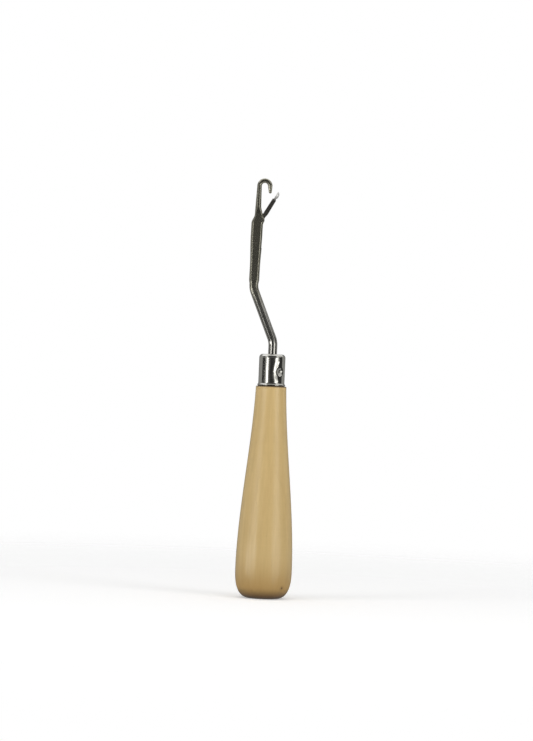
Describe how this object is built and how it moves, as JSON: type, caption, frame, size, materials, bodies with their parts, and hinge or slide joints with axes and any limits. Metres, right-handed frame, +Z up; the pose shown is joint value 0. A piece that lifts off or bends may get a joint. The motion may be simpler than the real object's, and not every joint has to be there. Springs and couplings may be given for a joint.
{
  "type": "latch hook tool",
  "caption": "Hand tool for knotting yarn through mesh: turned wooden handle, metal ferrule, cranked shank with a slotted blade, open hook and swinging latch.",
  "frame": {"origin": "centre of the small flat on the handle's butt, on the handle's axis", "axes": "+Z up the handle's axis towards the hook, +X the way the hook opens and the latch swings, the shank cranked towards -X, +Y across the flat sides of the blade along the latch's rivet"},
  "size_m": [0.0222, 0.0222, 0.165],
  "materials": {
    "wood": "turned, fine straight grain, thin clear lacquer",
    "nickel_plate": "bright nickel plate over thin sheet",
    "plated_steel": "bright plate over forged steel",
    "rivet_steel": "peened and polished flush"
  },
  "bodies": {
    "tool": {"handle": "wood", "ferrule": "nickel_plate", "shank": "plated_steel", "latch_rivet": "rivet_steel"},
    "latch": {"latch": "nickel_plate"}
  },
  "joints": [
    {"name": "latch_pivot", "type": "hinge", "parent": "tool", "child": "latch", "pos_m": [-0.00648, 0, 0.14849], "axis": [0, 1, 0], "range_deg": [-10.5, 143]}
  ]
}
